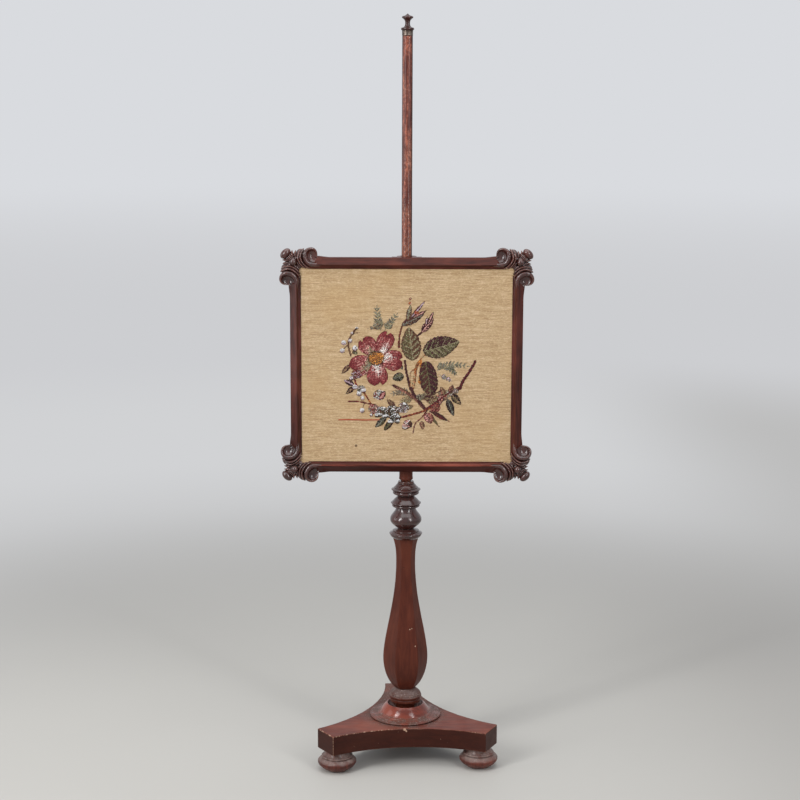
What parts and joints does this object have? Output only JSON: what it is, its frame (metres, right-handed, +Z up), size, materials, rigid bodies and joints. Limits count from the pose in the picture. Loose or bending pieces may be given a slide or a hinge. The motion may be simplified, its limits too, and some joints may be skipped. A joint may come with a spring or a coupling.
{
  "type": "pole screen",
  "caption": "Standing pole screen with a needlework panel in a carved frame that slides and turns on a pole above a faceted column and three-cornered base.",
  "frame": {"origin": "on the pole axis at floor level", "axes": "+Z up along the pole, the needlework faces -Y, +X to the right as the front is seen"},
  "size_m": [0.5, 0.3375, 1.5],
  "materials": {
    "mahogany": "worn french polish",
    "red_mahogany": "worn french polish",
    "pole_wood": "rubbed polish",
    "plain_wood": "unpolished",
    "needlework": "wool and bead stitching on canvas",
    "brass": "tarnished",
    "iron": "dark"
  },
  "bodies": {
    "stand": {"base_plinth": "red_mahogany", "foot_front_left": "mahogany", "foot_front_right": "mahogany", "foot_rear": "mahogany", "dish_collar": "red_mahogany", "column_ring": "mahogany", "column_baluster": "mahogany", "column_capital": "mahogany", "base_washer": "iron", "base_bolt": "iron"},
    "pole": {"pole": "pole_wood"},
    "finial": {"ferrule": "brass", "finial": "mahogany"},
    "screen": {"top_rail": "mahogany", "bottom_rail": "mahogany", "left_stile": "mahogany", "right_stile": "mahogany", "corner_top_left": "mahogany", "corner_top_right": "mahogany", "corner_bottom_left": "mahogany", "corner_bottom_right": "mahogany", "needlework_canvas": "needlework", "strainer_top": "plain_wood", "strainer_bottom": "plain_wood", "strainer_left": "plain_wood", "strainer_right": "plain_wood", "back_board": "plain_wood", "board_brads": "iron", "upper_sleeve": "mahogany", "lower_sleeve": "mahogany", "upper_bracket": "mahogany", "lower_bracket": "mahogany", "bracket_screws": "iron", "clamp_bush": "brass"},
    "clamp_screw": {"clamp_screw": "brass"}
  },
  "joints": [
    {"name": "pole_swivel", "type": "hinge", "parent": "stand", "child": "pole", "pos_m": [0, 0, 0.577], "axis": [0, 0, 1], "continuous": true},
    {"name": "finial_lift", "type": "slide", "parent": "pole", "child": "finial", "axis": [0, 0, 1], "range_m": [0, 0.03]},
    {"name": "screen_slide", "type": "slide", "parent": "pole", "child": "screen", "axis": [0, 0, 1], "range_m": [-0.0025, 0.425]},
    {"name": "clamp_turn", "type": "hinge", "parent": "screen", "child": "clamp_screw", "pos_m": [0, 0.025, 1.013], "axis": [0, 1, 0], "range_deg": [-180, 180]}
  ]
}
